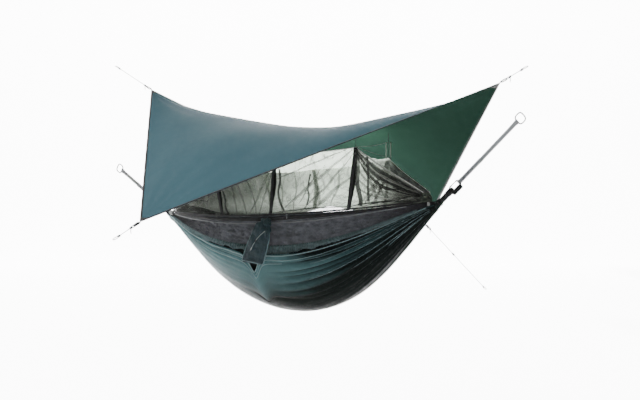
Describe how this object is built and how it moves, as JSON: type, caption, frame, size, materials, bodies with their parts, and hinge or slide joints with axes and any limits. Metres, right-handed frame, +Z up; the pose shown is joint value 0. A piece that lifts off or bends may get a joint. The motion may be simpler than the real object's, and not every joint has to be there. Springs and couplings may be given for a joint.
{
  "type": "camping hammock with net and tarp",
  "caption": "Camping hammock with a zipped insect net, slung on straps and carabiners under a square ridge tarp with guylines.",
  "frame": {"origin": "middle of the left tree loop, seen from the hammock's front", "axes": "+X level towards the right tree, -Y towards the front with the zip, +Z up"},
  "size_m": [3.6749, 4.4181, 1.9397],
  "materials": {
    "tarp_nylon": "coated ripstop weave, matt",
    "inner_nylon": "plain weave, matt",
    "outer_nylon": "plain weave, slightly shiny",
    "panel_nylon": "crinkled plain weave",
    "net": "fine knotless insect net",
    "black_webbing": "woven tape and cord",
    "grey_webbing": "woven tape and cord",
    "pale_cord": "braided cord",
    "sack_nylon": "plain weave, slightly shiny",
    "carabiner": "black anodised, satin",
    "zip_metal": "dark plated, satin",
    "black_plastic": "moulded"
  },
  "bodies": {
    "shelter": {"tarp": "tarp_nylon", "tarp_edge_tape": "black_webbing", "left_tree_loop": "black_webbing", "right_tree_loop": "black_webbing", "corner_tab_left": "black_webbing", "guy_knot_left": "black_webbing", "guyline_left": "grey_webbing", "guy_loop_left": "grey_webbing", "corner_tab_front": "black_webbing", "guy_knot_front": "black_webbing", "guyline_front": "grey_webbing", "guy_loop_front": "grey_webbing", "corner_tab_right": "black_webbing", "guy_knot_right": "black_webbing", "guyline_right": "grey_webbing", "guy_loop_right": "grey_webbing", "corner_tab_rear": "black_webbing", "guy_knot_rear": "black_webbing", "guyline_rear": "grey_webbing", "guy_loop_rear": "grey_webbing"},
    "hammock": {"inner_layer": "inner_nylon", "outer_layer": "outer_nylon", "side_panel_front": "panel_nylon", "side_panel_rear": "panel_nylon", "rim_band": "black_webbing", "rim_piping": "grey_webbing", "zip_tape": "black_webbing", "net_front": "net", "net_rear": "net", "net_roof": "net", "net_strap_front_left": "black_webbing", "net_strap_front_middle": "black_webbing", "net_strap_front_right": "black_webbing", "net_strap_rear_left": "grey_webbing", "net_strap_rear_middle": "grey_webbing", "net_strap_rear_right": "grey_webbing", "station_cord_left": "black_webbing", "station_cord_middle": "black_webbing", "station_cord_right": "black_webbing", "left_gather": "black_webbing", "left_rope": "black_webbing", "left_carabiner": "carabiner", "left_gate_pin": "carabiner", "left_daisy_chain": "grey_webbing", "left_tree_strap": "grey_webbing", "right_gather": "black_webbing", "right_rope": "black_webbing", "right_carabiner": "carabiner", "right_gate_pin": "carabiner", "right_daisy_chain": "grey_webbing", "right_tree_strap": "grey_webbing"},
    "left_gate_body": {"left_gate": "carabiner"},
    "right_gate_body": {"right_gate": "carabiner"},
    "slider_body": {"zip_slider": "zip_metal"},
    "pull_body": {"zip_pull": "zip_metal"},
    "sack_body": {"stuff_sack": "sack_nylon", "sack_drawcord": "pale_cord", "drawcord_tip": "pale_cord"},
    "lock_body": {"cord_lock": "black_plastic"},
    "adjuster_body": {"line_adjuster": "black_plastic"}
  },
  "joints": [
    {"name": "hammock_swing", "type": "hinge", "parent": "shelter", "child": "hammock", "pos_m": [0.02542, 0, -0.01592], "axis": [0.9958, 0, 0.0917], "range_deg": [-6, 6], "deforming": ["station_cord_left", "station_cord_middle", "station_cord_right"]},
    {"name": "left_gate_hinge", "type": "hinge", "parent": "hammock", "child": "left_gate_body", "pos_m": [0.45309, 0, -0.2567], "axis": [0, -1, 0], "range_deg": [0, 25], "stiffness_Nm_per_rad": 0.06, "springref_deg": -11.46},
    {"name": "right_gate_hinge", "type": "hinge", "parent": "hammock", "child": "right_gate_body", "pos_m": [3.08408, 0, -0.10439], "axis": [0, 1, 0], "range_deg": [0, 25], "stiffness_Nm_per_rad": 0.06, "springref_deg": -11.46},
    {"name": "zip_slide", "type": "slide", "parent": "hammock", "child": "slider_body", "axis": [0.9929, 0.0913, 0.0761], "range_m": [0, 0.15]},
    {"name": "zip_pull_hinge", "type": "hinge", "parent": "slider_body", "child": "pull_body", "pos_m": [2.00053, -0.36018, -0.30613], "axis": [-0.9929, -0.0913, -0.0761], "range_deg": [0, 150]},
    {"name": "sack_hinge", "type": "hinge", "parent": "hammock", "child": "sack_body", "pos_m": [1.855, -0.36957, -0.33872], "axis": [-1, 0, 0], "range_deg": [0, 30]},
    {"name": "cord_lock_slide", "type": "slide", "parent": "sack_body", "child": "lock_body", "axis": [-0.6195, 0, -0.785], "range_m": [0, 0.012]},
    {"name": "adjuster_slide", "type": "slide", "parent": "shelter", "child": "adjuster_body", "axis": [0.0265, 0.8477, -0.5298], "range_m": [0, 0.25]}
  ]
}
